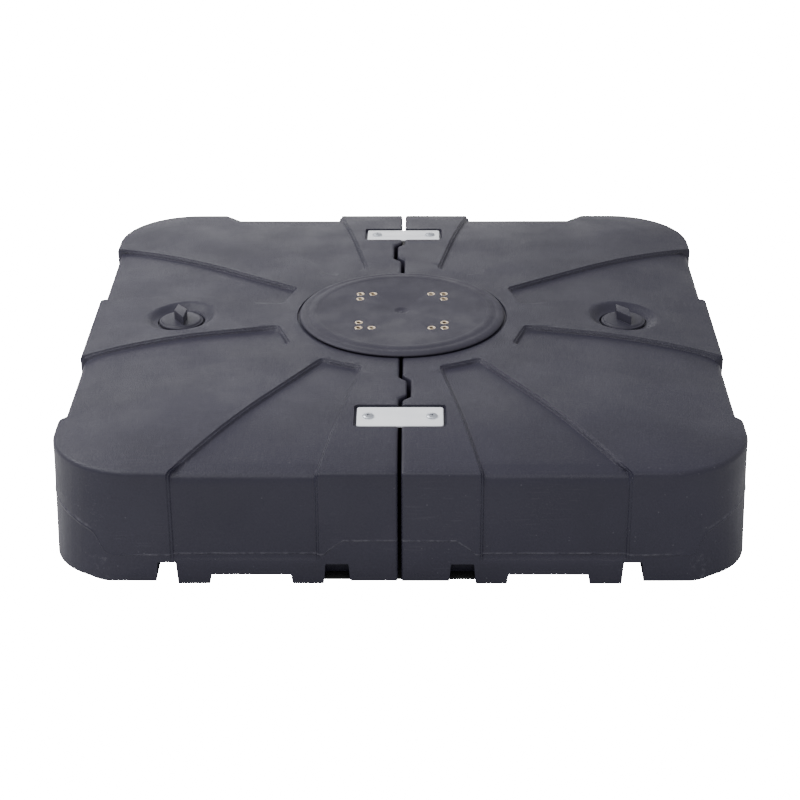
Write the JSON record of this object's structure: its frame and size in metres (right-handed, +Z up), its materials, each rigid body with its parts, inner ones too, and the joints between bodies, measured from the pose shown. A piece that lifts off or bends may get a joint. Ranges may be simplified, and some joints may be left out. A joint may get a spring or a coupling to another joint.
{
  "type": "parasol base",
  "caption": "Low square fillable parasol base: interlocking hollow tanks clamped round a central mounting hub, with screw filler caps and tie plates.",
  "frame": {"origin": "on the floor, under the centre of the mounting hub", "axes": "+Z up, +X to the right across the split between the tanks, +Y to the rear along the split"},
  "size_m": [1, 1, 0.208],
  "materials": {
    "tank_plastic": "leather-grained blow-moulded HDPE, anthracite",
    "hub_plastic": "grained injection-moulded plastic, anthracite",
    "cap_plastic": "satin injection-moulded plastic, anthracite",
    "seal_rubber": "black flat rubber ring",
    "insert_brass": "turned brass",
    "zinc_steel": "bright zinc plating",
    "plate_paint": "white powder coat on steel"
  },
  "bodies": {
    "base": {"left_tank": "tank_plastic", "right_tank": "tank_plastic", "mount_hub": "hub_plastic", "flange_insert_01": "insert_brass", "flange_insert_02": "insert_brass", "flange_insert_03": "insert_brass", "flange_insert_04": "insert_brass", "flange_insert_05": "insert_brass", "flange_insert_06": "insert_brass", "flange_insert_07": "insert_brass", "flange_insert_08": "insert_brass", "flange_insert_09": "insert_brass", "flange_insert_10": "insert_brass", "flange_insert_11": "insert_brass", "flange_insert_12": "insert_brass", "hub_retainer_plate": "zinc_steel", "retainer_bush_1": "insert_brass", "retainer_bush_2": "insert_brass", "retainer_bush_3": "insert_brass", "retainer_bush_4": "insert_brass", "retainer_washer_1": "zinc_steel", "retainer_washer_2": "zinc_steel", "retainer_washer_3": "zinc_steel", "retainer_washer_4": "zinc_steel", "retainer_bolt_1": "zinc_steel", "retainer_bolt_2": "zinc_steel", "retainer_bolt_3": "zinc_steel", "retainer_bolt_4": "zinc_steel", "front_tie_plate": "plate_paint", "rear_tie_plate": "plate_paint", "front_left_tie_screw": "zinc_steel", "front_left_tie_bush": "insert_brass", "front_right_tie_screw": "zinc_steel", "front_right_tie_bush": "insert_brass", "rear_left_tie_screw": "zinc_steel", "rear_left_tie_bush": "insert_brass", "rear_right_tie_screw": "zinc_steel", "rear_right_tie_bush": "insert_brass"},
    "left_seal": {"left_cap_seal": "seal_rubber"},
    "left_cap": {"left_filler_cap": "cap_plastic"},
    "right_seal": {"right_cap_seal": "seal_rubber"},
    "right_cap": {"right_filler_cap": "cap_plastic"}
  },
  "joints": [
    {"name": "left_cap_lift", "type": "slide", "parent": "base", "child": "left_seal", "axis": [0, 0, 1], "range_m": [0, 0.0121]},
    {"name": "left_cap_turn", "type": "hinge", "parent": "left_seal", "child": "left_cap", "pos_m": [-0.353, 0, 0.1865], "axis": [0, 0, 1], "range_deg": [0, 720]},
    {"name": "right_cap_lift", "type": "slide", "parent": "base", "child": "right_seal", "axis": [0, 0, 1], "range_m": [0, 0.0121]},
    {"name": "right_cap_turn", "type": "hinge", "parent": "right_seal", "child": "right_cap", "pos_m": [0.353, 0, 0.1865], "axis": [0, 0, 1], "range_deg": [0, 720]}
  ],
  "couplings": [
    {"joint": "left_cap_lift", "follows": "left_cap_turn", "m_per_rad": 0.00095493},
    {"joint": "right_cap_lift", "follows": "right_cap_turn", "m_per_rad": 0.00095493}
  ]
}
